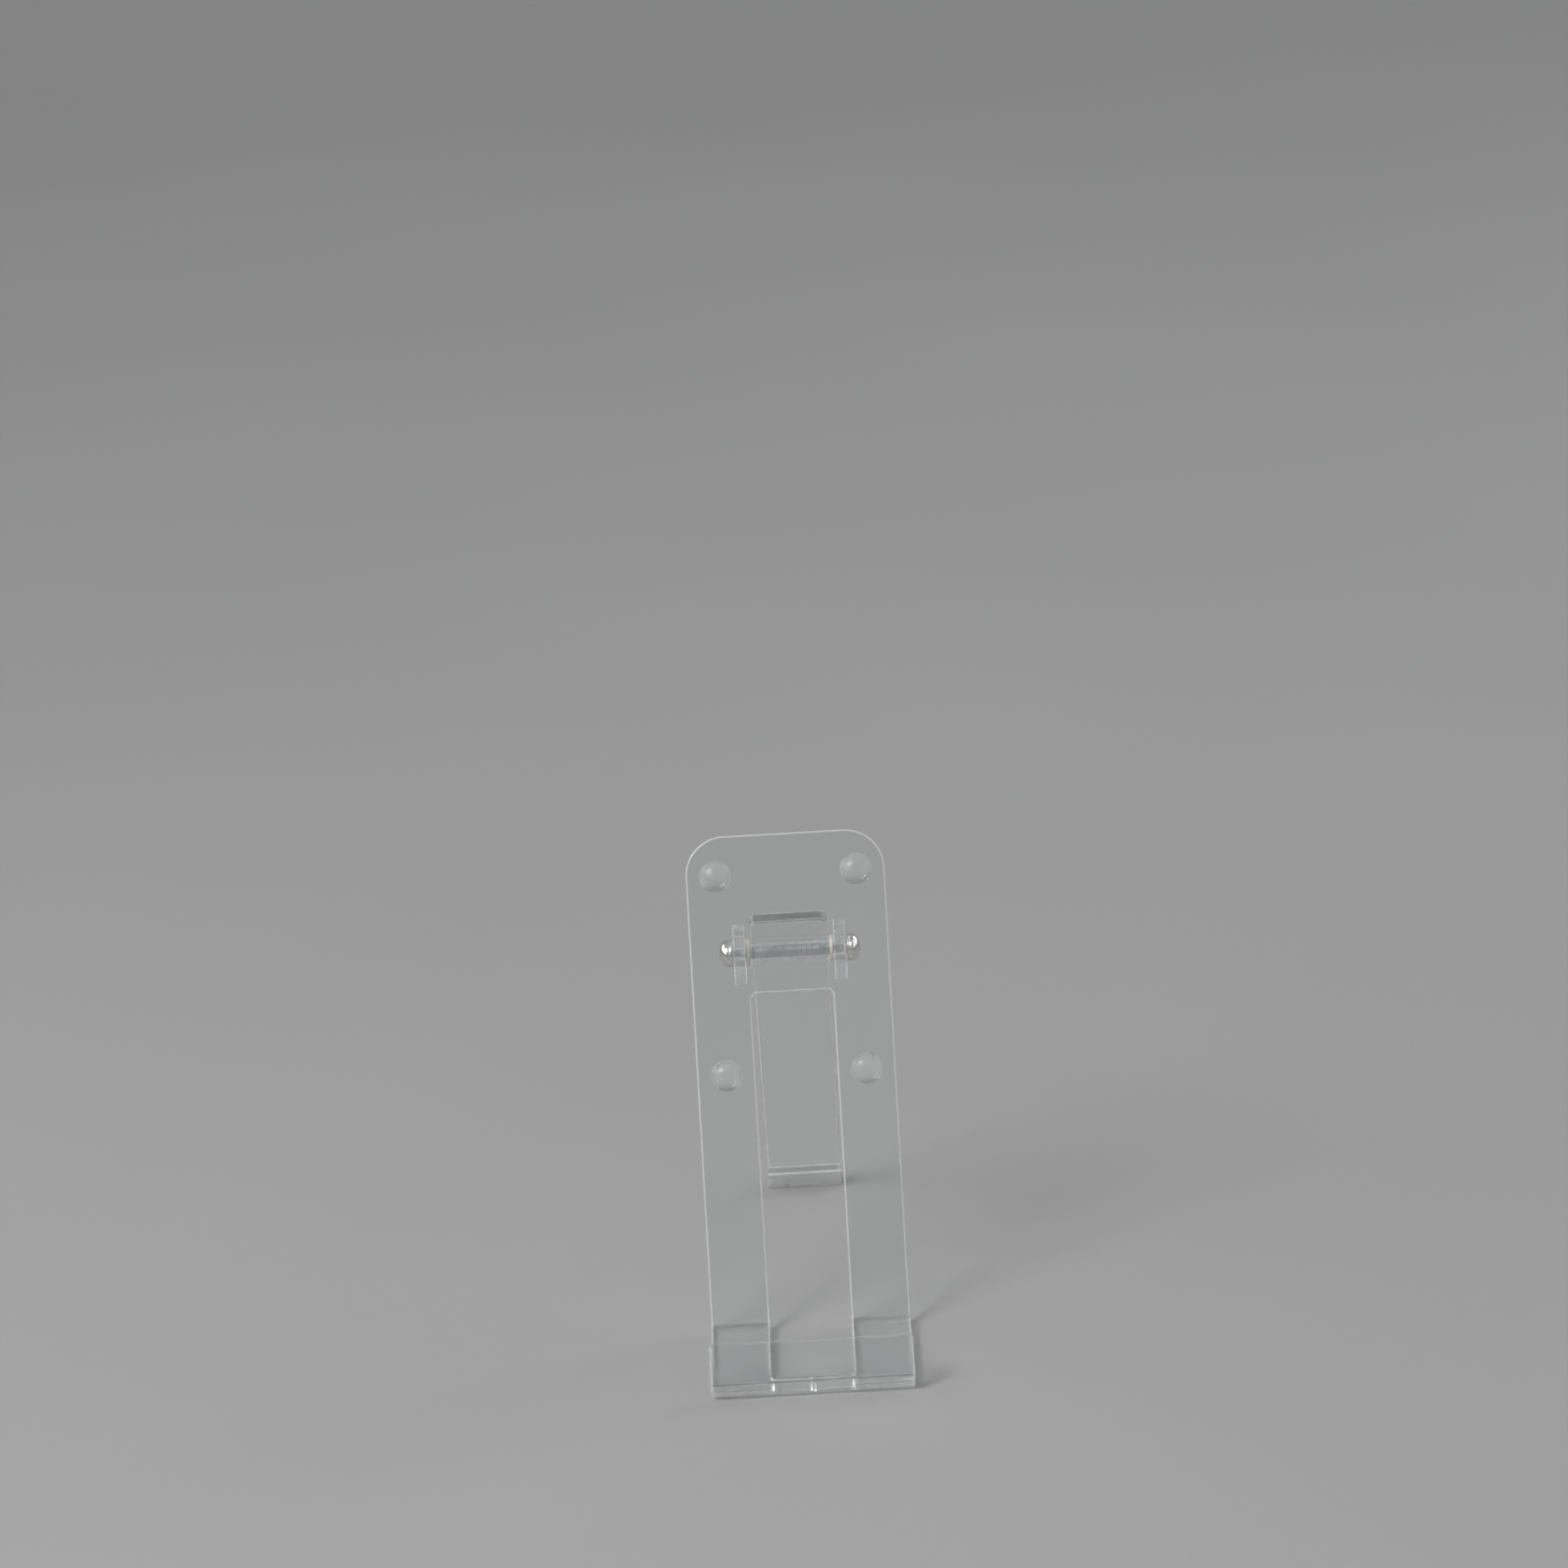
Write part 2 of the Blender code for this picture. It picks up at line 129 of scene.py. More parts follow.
def back_point(up, back):
    return (
        C2[0] + (R_OUT + back) * BACK[0] + up * UP[0],
        C2[1] + (R_OUT + back) * BACK[1] + up * UP[1],
    )


def strut_point(q, r):
    return (
        AXIS[0] + q * DOWN_STRUT[0] + r * BACK_STRUT[0],
        AXIS[1] + q * DOWN_STRUT[1] + r * BACK_STRUT[1],
    )


def on_axis(a, b, c):
    return world(c, AXIS[0] + a, AXIS[1] + b)


# ---------------------------------------------------------------- mesh helpers
def finish_piece(name, bm, materials, body, node, sharp=40.0, weighted=True):
    bmesh.ops.recalc_face_normals(bm, faces=bm.faces)
    if bm.calc_volume(signed=True) < 0:  # outward on every piece, bored and U-shaped ones too
        bmesh.ops.reverse_faces(bm, faces=bm.faces)
    mesh = bpy.data.meshes.new(name)
    bm.to_mesh(mesh)
    bm.free()
    for m in materials:
        mesh.materials.append(m)
    mesh.shade_smooth()
    mesh.set_sharp_from_angle(angle=math.radians(sharp))
    o = bpy.data.objects.new(name, mesh)
    bpy.context.scene.collection.objects.link(o)
    if weighted:
        w = o.modifiers.new("face_weighted_normals", "WEIGHTED_NORMAL")
        w.keep_sharp = True
        w.weight = 90
    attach(o, body)
    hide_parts(node)
    return o


def arc(cx, cy, r, a0, a1, n):
    return [
        (
            cx + r * math.cos(math.radians(a0 + (a1 - a0) * i / n)),
            cy + r * math.sin(math.radians(a0 + (a1 - a0) * i / n)),
        )
        for i in range(n + 1)
    ]


def circle(cx, cy, r, n):
    return [
        (cx + r * math.cos(2 * math.pi * i / n), cy + r * math.sin(2 * math.pi * i / n))
        for i in range(n)
    ]


def inset(loop, d):
    """The closed loop moved by d towards its left, with mitred corners."""
    out = []
    n = len(loop)
    for i, p in enumerate(loop):
        a = (Vector(p) - Vector(loop[i - 1])).normalized()
        b = (Vector(loop[(i + 1) % n]) - Vector(p)).normalized()
        n0, n1 = Vector((-a.y, a.x)), Vector((-b.y, b.x))
        m = (n0 + n1) / max(1 + n0.dot(n1), 0.2)
        out.append((p[0] + m.x * d, p[1] + m.y * d))
    return out


def area_of(loop):
    return sum(a[0] * b[1] - b[0] * a[1] for a, b in zip(loop, loop[1:] + loop[:1])) / 2


def sheet_mesh(loops, low, high, radius, cuts=(), segments=4):
    """Flat solid with the given outline (first) and holes, from c = low to high, with every rim rounded to radius,
    and cut across at each b in cuts. Faces get material 0, the rounded rims material 1 and the walls material 2."""
    bm = bmesh.new()
    turns = [math.pi / 2 * k / segments for k in range(segments + 1)]
    steps = [(radius * (1 - math.cos(t)), low + radius * (1 - math.sin(t))) for t in reversed(turns)]
    steps += [(radius * (1 - math.cos(t)), high - radius * (1 - math.sin(t))) for t in turns]
    first, last = [], []
    for k, loop in enumerate(loops):
        if (area_of(loop) > 0) != (k == 0):
            loop = loop[::-1]
        rings = [[bm.verts.new((a, b, c)) for a, b in inset(loop, d)] for d, c in steps]
        n = len(loop)
        for step, (one, two) in enumerate(zip(rings, rings[1:])):
            for i in range(n):
                j = (i + 1) % n
                bm.faces.new([one[i], one[j], two[j], two[i]]).material_index = 2 if step == segments else 1
        first.append(rings[0])
        last.append(rings[-1])
    for group in (first, last):
        edges = [bm.edges.get((ring[i], ring[(i + 1) % len(ring)])) for ring in group for i in range(len(ring))]
        made = bmesh.ops.triangle_fill(bm, use_beauty=True, use_dissolve=False, edges=edges)
        faces = [f for f in made["geom"] if isinstance(f, bmesh.types.BMFace)]
        filled = set(faces)
        inner = [e for e in bm.edges if e.link_faces and all(f in filled for f in e.link_faces)]  # in mesh order
        for f in faces:
            f.material_index = 0
        bmesh.ops.dissolve_limit(bm, angle_limit=math.radians(0.05), verts=[], edges=inner)
    for b in cuts:
        bmesh.ops.bisect_plane(
            bm,
            geom=list(bm.verts) + list(bm.edges) + list(bm.faces),
            plane_co=(0, b, 0),
            plane_no=(0, 1, 0),
            dist=1e-5,
        )
    bm.normal_update()
    return bm


def mapped(bm, to_world):
    for v in bm.verts:
        v.co = to_world(*v.co)
    return bm


def turned(profile, n, to_world, closed=False):
    bm = bmesh.new()
    rings = [
        [bm.verts.new(to_world(0.0, 0.0, c))] if r < 1e-6 else [bm.verts.new(to_world(a, b, c)) for a, b in circle(0, 0, r, n)]
        for r, c in profile
    ]
    pairs = list(zip(rings, rings[1:])) + ([(rings[-1], rings[0])] if closed else [])
    for low, high in pairs:
        for i in range(n):
            j = (i + 1) % n
            if len(low) == 1:
                bm.faces.new([low[0], high[j], high[i]])
            elif len(high) == 1:
                bm.faces.new([low[i], low[j], high[0]])
            else:
                bm.faces.new([low[i], low[j], high[j], high[i]])
    return bm


def rounded(points, radius, n=4, closed=False):
    """The profile with each inner corner rounded by up to radius."""
    out = []
    count = len(points)
    for i, p in enumerate(points):
        if not closed and i in (0, count - 1):
            out.append(p)
            continue
        a, b, c = Vector(points[i - 1]), Vector(p), Vector(points[(i + 1) % count])
        d1, d2 = a - b, c - b
        r = min(radius, d1.length * 0.45, d2.length * 0.45)
        if d1.angle(d2) > math.radians(170) or r < 1e-5:
            out.append(p)
            continue
        s, e = b + d1.normalized() * r, b + d2.normalized() * r
        for k in range(n + 1):
            t = k / n
            q = s * (1 - t) ** 2 + b * 2 * t * (1 - t) + e * t**2
            out.append((q.x, q.y))
    return out


# ---------------------------------------------------------------- materials
class Nodes:
    """Small helper that builds a node material."""

    def __init__(self, name):
        self.mat = bpy.data.materials.new(name)
        self.mat.use_nodes = True
        self.tree = self.mat.node_tree
        self.bsdf = self.tree.nodes["Principled BSDF"]
        self.coord = self.add("ShaderNodeTexCoord").outputs["Object"]

    def add(self, kind, **values):
        n = self.tree.nodes.new(kind)
        for k, v in values.items():
            setattr(n, k, v)
        return n

    def link(self, a, b):
        self.tree.links.new(a, b)

    def mapping(self, scale=(1, 1, 1), rotation=(0, 0, 0), source=None):
        m = self.add("ShaderNodeMapping")
        m.inputs["Scale"].default_value = scale
        m.inputs["Rotation"].default_value = rotation
        self.link(source or self.coord, m.inputs["Vector"])
        return m.outputs["Vector"]

    def noise(self, scale, detail=4.0, rough=0.5, vector=None, distortion=0.0):
        n = self.add("ShaderNodeTexNoise")
        n.inputs["Scale"].default_value = scale
        n.inputs["Detail"].default_value = detail
        n.inputs["Roughness"].default_value = rough
        n.inputs["Distortion"].default_value = distortion
        self.link(vector or self.coord, n.inputs["Vector"])
        return n.outputs["Fac"]

    def voronoi(self, scale, vector=None, feature="F1"):
        n = self.add("ShaderNodeTexVoronoi", feature=feature)
        n.inputs["Scale"].default_value = scale
        self.link(vector or self.coord, n.inputs["Vector"])
        return n.outputs["Distance"]

    def ramp(self, value, low, high, a=0.0, b=1.0):
        n = self.add("ShaderNodeMapRange", clamp=True)
        for key, v in (("From Min", low), ("From Max", high), ("To Min", a), ("To Max", b)):
            n.inputs[key].default_value = v
        self.link(value, n.inputs["Value"])
        return n.outputs["Result"]

    def maths(self, op, a, b):
        n = self.add("ShaderNodeMath", operation=op)
        for i, v in enumerate((a, b)):
            if isinstance(v, (int, float)):
                n.inputs[i].default_value = v
            else:
                self.link(v, n.inputs[i])
        return n.outputs[0]

    def colours(self, value, c0, c1, low=0.0, high=1.0):
        n = self.add("ShaderNodeValToRGB")
        n.color_ramp.elements[0].color = (*c0, 1)
        n.color_ramp.elements[1].color = (*c1, 1)
        n.color_ramp.elements[0].position = low
        n.color_ramp.elements[1].position = high
        self.link(value, n.inputs["Fac"])
        return n.outputs["Color"]

    def bump(self, height, strength, distance, normal=None):
        n = self.add("ShaderNodeBump")
        n.inputs["Strength"].default_value = strength
        n.inputs["Distance"].default_value = distance
        self.link(height, n.inputs["Height"])
        if normal is not None:
            self.link(normal, n.inputs["Normal"])
        return n.outputs["Normal"]

    def set(self, **values):
        for k, v in values.items():
            socket = self.bsdf.inputs[k.replace("_", " ")]
            if isinstance(v, bpy.types.NodeSocket):
                self.link(v, socket)
            else:
                socket.default_value = v


def scratches(m, turn, scale=900.0, amount=0.995):
    """Sparse hairlines: thin ridges of a stretched noise, from 0 to 1."""
    v = m.mapping((scale, scale * 0.02, scale * 0.02), turn)
    n = m.noise(1.0, 2.0, 0.5, v)
    line = m.ramp(m.maths("ABSOLUTE", m.maths("SUBTRACT", n, 0.5), 0.0), 0.0, 0.006, 1.0, 0.0)
    gate = m.ramp(m.noise(60.0, 2.0, 0.5), 0.55, 0.72)
    return m.maths("MULTIPLY", line, gate)


def near_bends(m):
    """1 on the two heat-formed bends of the strip, fading to 0 on the flats beside them."""
    split = m.add("ShaderNodeSeparateXYZ")
    m.link(m.coord, split.inputs[0])
    nearest = None
    for cy, cz in (C1, C2):
        dy = m.maths("SUBTRACT", split.outputs["Y"], (cy + Y_SHIFT) * MM)
        dz = m.maths("SUBTRACT", split.outputs["Z"], cz * MM)
        d = m.maths("SQRT", m.maths("ADD", m.maths("MULTIPLY", dy, dy), m.maths("MULTIPLY", dz, dz)), 0.0)
        nearest = d if nearest is None else m.maths("MINIMUM", nearest, d)
    return m.ramp(nearest, (R_OUT + 0.2) * MM, (R_OUT + 2.5) * MM, 1.0, 0.0)


def acrylic_face():
    m = Nodes("acrylic_polished_face")
    formed = near_bends(m)
    wipe = m.noise(38.0, 5.0, 0.6, m.mapping((1.0, 0.5, 0.35), (0.2, 0.1, 0.5)))
    hair = m.maths(
        "MAXIMUM",
        scratches(m, (0.3, 0.2, 0.4)),
        scratches(m, (-0.9, 0.5, -0.3), 700.0),
    )
    rough = m.maths("ADD", m.ramp(wipe, 0.35, 0.85, 0.004, 0.035), m.maths("MULTIPLY", hair, 0.10))
    dust = m.ramp(m.voronoi(420.0), 0.0, 0.055, 1.0, 0.0)
    dust = m.maths("MULTIPLY", dust, m.ramp(m.noise(55.0, 3.0, 0.6), 0.52, 0.75))
    rough = m.maths("ADD", rough, m.maths("MULTIPLY", dust, 0.25))
    rough = m.maths("ADD", rough, m.maths("MULTIPLY", formed, 0.13))
    wave = m.noise(14.0, 1.0, 0.4)
    normal = m.bump(wave, 0.10, 0.0010)
    peel = m.maths("MULTIPLY", m.noise(620.0, 2.0, 0.5), formed)
    normal = m.bump(peel, 0.25, 0.00012, normal)
    normal = m.bump(hair, 0.06, 0.00002, normal)
    m.set(
        Base_Color=m.colours(wipe, (0.975, 0.985, 0.985), (0.990, 0.996, 0.996), 0.2, 0.8),
        Roughness=rough,
        IOR=1.491,
        Transmission_Weight=m.maths("SUBTRACT", 1.0, m.maths("MULTIPLY", dust, 0.35)),
        Normal=normal,
    )
    return m.mat


def acrylic_edge():
    """The cut wall of the sheet, flame polished: clear, with faint saw lines across it."""
    m = Nodes("acrylic_polished_edge")
    saw = m.noise(1.0, 2.0, 0.6, m.mapping((60.0, 2600.0, 2600.0)))
    pull = m.noise(160.0, 2.0, 0.5)
    m.set(
        Base_Color=m.colours(pull, (0.95, 0.975, 0.977), (0.985, 0.995, 0.995), 0.3, 0.7),
        Roughness=m.ramp(m.maths("MULTIPLY", saw, pull), 0.15, 0.40, 0.02, 0.06),
        IOR=1.491,
        Transmission_Weight=0.96,
        Normal=m.bump(saw, 0.015, 0.00003, m.bump(pull, 0.04, 0.0001)),
    )
    return m.mat


def acrylic_arris():
    """The scraped and buffed corner between face and edge: a fine satin line that catches the light."""
    m = Nodes("acrylic_satin_arris")
    buff = m.noise(240.0, 2.0, 0.5)
    m.set(
        Base_Color=(0.97, 0.975, 0.975, 1.0),
        Roughness=m.ramp(buff, 0.3, 0.7, 0.17, 0.22),
        IOR=1.491,
        Transmission_Weight=m.ramp(buff, 0.3, 0.7, 0.67, 0.72),
        Normal=m.bump(buff, 0.03, 0.00003),
    )
    return m.mat


def acrylic_bore():
    m = Nodes("acrylic_drilled_bore")
    rings = m.noise(1.0, 2.0, 0.6, m.mapping((4200.0, 80.0, 80.0)))
    m.set(
        Base_Color=m.colours(rings, (0.84, 0.88, 0.89), (0.96, 0.98, 0.98), 0.3, 0.7),
        Roughness=m.ramp(rings, 0.3, 0.7, 0.22, 0.40),
        IOR=1.491,
        Transmission_Weight=0.9,
        Normal=m.bump(rings, 0.3, 0.0001),
    )
    return m.mat


def silicone():
    m = Nodes("silicone_water_clear")
    haze = m.noise(420.0, 5.0, 0.65)
    specks = m.ramp(m.voronoi(900.0), 0.0, 0.08, 1.0, 0.0)
    m.set(
        Base_Color=m.colours(haze, (0.93, 0.935, 0.93), (0.98, 0.982, 0.98), 0.3, 0.7),
        Roughness=m.maths("ADD", m.ramp(haze, 0.3, 0.7, 0.07, 0.17), m.maths("MULTIPLY", specks, 0.2)),
        IOR=1.41,
        Transmission_Weight=m.ramp(haze, 0.3, 0.75, 0.97, 0.88),
        Normal=m.bump(haze, 0.12, 0.00005),
    )
    return m.mat


def sleeve():
    """The same silicone moulded thicker: milky, with a bloom of fine dust."""
    m = Nodes("silicone_milky_sleeve")
    haze = m.noise(520.0, 5.0, 0.65)
    bloom = m.noise(90.0, 3.0, 0.6)
    m.set(
        Base_Color=m.colours(haze, (0.88, 0.885, 0.88), (0.95, 0.955, 0.95), 0.3, 0.7),
        Roughness=m.ramp(bloom, 0.3, 0.7, 0.24, 0.42),
        IOR=1.41,
        Transmission_Weight=m.ramp(bloom, 0.3, 0.75, 0.62, 0.50),
        Normal=m.bump(haze, 0.15, 0.00005),
    )
    return m.mat


def steel():
    m = Nodes("stainless_ground_rod")
    rings = m.noise(1.0, 3.0, 0.7, m.mapping((5200.0, 60.0, 60.0)))
    stain = m.noise(300.0, 4.0, 0.6)
    m.set(
        Base_Color=m.colours(stain, (0.47, 0.47, 0.48), (0.66, 0.66, 0.67), 0.3, 0.7),
        Metallic=1.0,
        Roughness=m.ramp(rings, 0.25, 0.75, 0.20, 0.36),
        Normal=m.bump(rings, 0.35, 0.00004),
    )
    return m.mat


def nickel():
    m = Nodes("nickel_bright_plate")
    smear = m.noise(260.0, 5.0, 0.6, m.mapping((1.0, 0.4, 1.6), (0.4, 0.2, 0.0)))
    pits = m.ramp(m.voronoi(1600.0), 0.0, 0.09, 1.0, 0.0)
    pits = m.maths("MULTIPLY", pits, m.ramp(smear, 0.5, 0.7))
    m.set(
        Base_Color=m.colours(smear, (0.74, 0.725, 0.695), (0.84, 0.83, 0.81), 0.3, 0.7),
        Metallic=1.0,
        Roughness=m.maths("ADD", m.ramp(smear, 0.3, 0.75, 0.07, 0.20), m.maths("MULTIPLY", pits, 0.2)),
        Normal=m.bump(pits, -0.3, 0.00003, m.bump(smear, 0.08, 0.00008)),
    )
    return m.mat


def nylon():
    m = Nodes("nylon_natural")
    grain = m.noise(1500.0, 4.0, 0.65)
    tone = m.noise(180.0, 3.0, 0.5)
    m.set(
        Base_Color=m.colours(tone, (0.74, 0.72, 0.655), (0.86, 0.85, 0.80), 0.3, 0.7),
        Roughness=m.ramp(grain, 0.3, 0.7, 0.38, 0.56),
        IOR=1.53,
        Transmission_Weight=0.12,
        Subsurface_Weight=0.35,
        Subsurface_Scale=0.0012,
        Normal=m.bump(grain, 0.2, 0.00003),
    )
    return m.mat


def paper():
    m = Nodes("seamless_paper")
    fibre = m.noise(900.0, 4.0, 0.6)
    cloud = m.noise(3.0, 2.0, 0.5)
    m.set(
        Base_Color=m.colours(cloud, (0.370, 0.370, 0.371), (0.395, 0.395, 0.396), 0.2, 0.8),
        Roughness=m.ramp(fibre, 0.3, 0.7, 0.62, 0.80),
        Normal=m.bump(fibre, 0.10, 0.00006),
    )
    m.bsdf.inputs["Specular IOR Level"].default_value = 0.25
    return m.mat


FACE, ARRIS, EDGE, BORE = acrylic_face(), acrylic_arris(), acrylic_edge(), acrylic_bore()
SILICONE, SLEEVE, STEEL, NICKEL, NYLON = silicone(), sleeve(), steel(), nickel(), nylon()


# ---------------------------------------------------------------- the stand
def make_body():
    half, hole, nick = WIDTH / 2, WINDOW_WIDTH / 2, NICK_WIDTH / 2
    outline = (
        arc(-half + LIP_CORNER, LIP_CORNER, LIP_CORNER, 180, 270, 8)
        + arc(half - LIP_CORNER, LIP_CORNER, LIP_CORNER, 270, 360, 8)
        + arc(half - TOP_CORNER, U_END - TOP_CORNER, TOP_CORNER, 0, 90, 32)
        + arc(-half + TOP_CORNER, U_END - TOP_CORNER, TOP_CORNER, 90, 180, 32)
    )
    w = WINDOW_CORNER
    window = (
        arc(hole - w, U_WINDOW_TOP - w, w, 0, 90, 10)
        + arc(-hole + w, U_WINDOW_TOP - w, w, 90, 180, 10)
        + arc(-hole + w, U_WINDOW + w, w, 180, 270, 10)
        + [(-nick, U_WINDOW), (-NICK_END / 2, U_NICK), (NICK_END / 2, U_NICK), (nick, U_WINDOW)]
        + arc(hole - w, U_WINDOW + w, w, 270, 360, 10)
    )
    cuts = [U_BEND1 + R_MID * TURN1 * i / 40 for i in range(41)]
    cuts += [U_BEND2 + R_MID * TURN2 * i / 30 for i in range(31)]
    bm = sheet_mesh([outline, window], -SHEET / 2, SHEET / 2, RIM, cuts)
    for f in bm.faces:  # the lip's top edge is flame polished, corners and all
        if f.material_index == 1 and f.calc_center_median().y < RIM:
            f.material_index = 2
    for v in bm.verts:  # the nick narrows towards the underside
        x = abs(v.co.x)
        if U_NICK - 0.7 < v.co.y < U_WINDOW + 0.2 and x < nick + 1.2:
            near = 1 - max(0.0, x - nick) / 1.2
            v.co.x *= 1 - (1 - NICK_TAPER) * near * (v.co.z + SHEET / 2) / SHEET
    mapped(bm, bent)
    finish_piece("acrylic_body", bm, [FACE, ARRIS, EDGE], "stand", "stand_body")


def make_cheeks():
    eye, foot = 5.0, 7.5
    outline = [(HINGE_UP - foot, GLUE), (HINGE_UP + foot, GLUE)]
    outline += [(HINGE_UP + foot, GLUE + 1.2)]
    outline += arc(HINGE_UP, HINGE_BACK, eye, 35, 145, 40)
    outline += [(HINGE_UP - foot, GLUE + 1.2)]
    hole = circle(HINGE_UP, HINGE_BACK, PIN_R + PIN_CLEAR, 48)
    for side, low in (("left", -CHEEK_OUT), ("right", CHEEK_IN)):
        bm = sheet_mesh([outline, hole], low, low + CHEEK_OUT - CHEEK_IN, 0.25)
        for f in bm.faces:
            c = f.calc_center_median()
            if f.material_index and math.hypot(c.x - HINGE_UP, c.y - HINGE_BACK) < PIN_R + PIN_CLEAR + 0.4:
                f.material_index = 3
        mapped(bm, lambda a, b, c: world(c, *back_point(a, b)))
        finish_piece(f"acrylic_cheek_{side}", bm, [FACE, ARRIS, EDGE, BORE], "stand", f"hinge_cheek_{side}")


def make_pin():
    ends = rounded([(0.0, -PIN_HALF), (PIN_R, -PIN_HALF), (PIN_R, PIN_HALF), (0.0, PIN_HALF)], 0.35, 5)
    middle = [(PIN_R, -PIN_HALF + 0.9 + (2 * PIN_HALF - 1.8) * i / 24) for i in range(25)]
    cut = next(i for i, p in enumerate(ends) if p[1] > 0)
    finish_piece("steel_hinge_pin", turned(ends[:cut] + middle + ends[cut:], 64, on_axis), [STEEL], "stand", "hinge_pin")

    bore = PIN_R + PIN_CLEAR
    dome = [
        (3.5 * math.cos(math.radians(t)), CAP_IN + 1.0 + (CAP_OUT - CAP_IN - 1.0) * math.sin(math.radians(t)))
        for t in range(4, 90, 4)
    ]
    # inner face, a rolled rim with a shallow groove above it, and the dome
    shell = [
        (0.0, PIN_HALF + 0.3),
        (bore, PIN_HALF + 0.3),
        (bore, CAP_IN + 0.15),
        (bore + 0.15, CAP_IN),
        (3.2, CAP_IN),
        (3.42, CAP_IN + 0.08),
        (3.5, CAP_IN + 0.26),
        (3.5, CAP_IN + 0.50),
        (3.44, CAP_IN + 0.62),
        (3.34, CAP_IN + 0.70),
        (3.34, CAP_IN + 0.80),
        (3.43, CAP_IN + 0.90),
        (3.49, CAP_IN + 1.0),
    ]
    profile = shell + dome + [(0.0, CAP_OUT)]
    for side, s in (("left", -1), ("right", 1)):
        bm = turned(profile, 72, lambda a, b, c, s=s: on_axis(a, b, s * c))
        finish_piece(f"nickel_pin_cap_{side}", bm, [NICKEL], "stand", f"pin_cap_{side}", 50.0)


def make_bumpers():
    ball = (BUMPER_R**2 + BUMPER_H**2) / (2 * BUMPER_H)
    dome = [(0.0, 0.0), (BUMPER_R - 0.22, 0.0), (BUMPER_R - 0.10, 0.03), (BUMPER_R - 0.02, 0.11), (BUMPER_R, 0.20), (BUMPER_R - 0.03, 0.30)]
    for i in range(2, 26):
        h = 0.25 + (BUMPER_H - 0.25) * math.sin(math.pi / 2 * i / 26)
        dome.append((math.sqrt(max(ball**2 - (ball - BUMPER_H + h) ** 2, 0.0)), h))
    dome.append((0.0, BUMPER_H))
    for level, up in zip(("lower", "upper"), BUMPER_UP):
        for side, x in (("left", -BUMPER_X), ("right", BUMPER_X)):
            bm = turned(dome, 64, lambda a, b, c, x=x, up=up: world(x + a, *back_point(up + b, -SHEET - GLUE - c)))
            finish_piece(f"silicone_bumper_{level}_{side}", bm, [SILICONE], "stand", f"plate_bumper_{level}_{side}", 60.0)


def make_strut():
    half, tip, top = STRUT_WIDTH / 2, 1.3, 2.0
    outline = (
        arc(half - tip, STRUT_REACH - tip, tip, 0, 90, 8)
        + arc(-half + tip, STRUT_REACH - tip, tip, 90, 180, 8)
        + arc(-half + top, -STRUT_HEAD + top, top, 180, 270, 12)
        + arc(half - top, -STRUT_HEAD + top, top, 270, 360, 12)
    )
    bm = sheet_mesh([outline], STRUT_FACE, STRUT_FACE + SHEET, RIM)
    mapped(bm, lambda a, b, c: world(a, *strut_point(b, c)))
    finish_piece("acrylic_strut", bm, [FACE, ARRIS, EDGE], "strut", "strut_leg")

    flat = STRUT_FACE - GLUE
    start = math.degrees(math.acos(flat / BARREL_R))
    barrel = arc(0, 0, BARREL_R, start, 360 - start, 80)
    hole = circle(0, 0, PIN_R + PIN_CLEAR, 48)
    bm = sheet_mesh([barrel, hole], -BARREL_HALF, BARREL_HALF, 0.18)
    # the rod's skin is as drawn and clear, its sawn ends are edges, and its bore is drilled
    for f in bm.faces:
        c = f.calc_center_median()
        d = math.hypot(c.x, c.y)
        if abs(f.normal.z) > 0.5:
            f.material_index = 1
        elif d < PIN_R + PIN_CLEAR + 0.3:
            f.material_index = 3
        else:
            f.material_index = 0
    mapped(bm, lambda a, b, c: world(c, *strut_point(b, a)))
    finish_piece("acrylic_barrel", bm, [FACE, ARRIS, EDGE, BORE], "strut", "strut_barrel")

    ring = rounded(
        [
            (PIN_R + PIN_CLEAR + 0.05, WASHER_IN),
            (BARREL_R - 0.1, WASHER_IN),
            (BARREL_R - 0.1, WASHER_OUT),
            (PIN_R + PIN_CLEAR + 0.05, WASHER_OUT),
        ],
        0.16,
        4,
        True,
    )
    for side, s in (("left", -1), ("right", 1)):
        bm = turned(ring, 72, lambda a, b, c, s=s: on_axis(a, b, s * c), True)
        finish_piece(f"nylon_washer_{side}", bm, [NYLON], "strut", f"thrust_washer_{side}")

    in0, in1 = STRUT_FACE - GLUE, STRUT_FACE + SHEET + GLUE
    out0, out1 = STRUT_FACE - TRIM_SIDE, STRUT_FACE + SHEET + TRIM_SIDE
    up, end = STRUT_REACH - TRIM_UP, STRUT_REACH + TRIM_END
    section = [(in0, up), (out0 + 0.3, up), (out0 + 0.1, up + 0.08), (out0, up + 0.3)]
    # three shallow grip ribs on the front wall, above the corner that stands on the table
    for k in range(3):
        q = up + 1.3 + 1.1 * k
        section += [(out0, q), (out0 + 0.16, q + 0.14), (out0 + 0.16, q + 0.36), (out0, q + 0.5)]
    section += [(out0, end)]
    for t in range(0, 91, 9):
        c, d = math.cos(math.radians(t)), math.sin(math.radians(t))
        section.append((out1 - TRIM_ROUND * (1 - d), end - TRIM_ROUND * (1 - c)))
    section += [(out1, up + 0.3), (out1 - 0.1, up + 0.08), (out1 - 0.3, up), (in1, up)]
    section += [(in1, STRUT_REACH + GLUE), (in0, STRUT_REACH + GLUE)]
    bm = sheet_mesh([section], -STRUT_WIDTH / 2, STRUT_WIDTH / 2, 0.1, segments=3)
    for f in bm.faces:
        f.material_index = 0
    mapped(bm, lambda a, b, c: world(c, *strut_point(b, a)))
    finish_piece("silicone_foot_trim", bm, [SLEEVE], "strut", "strut_foot_trim")


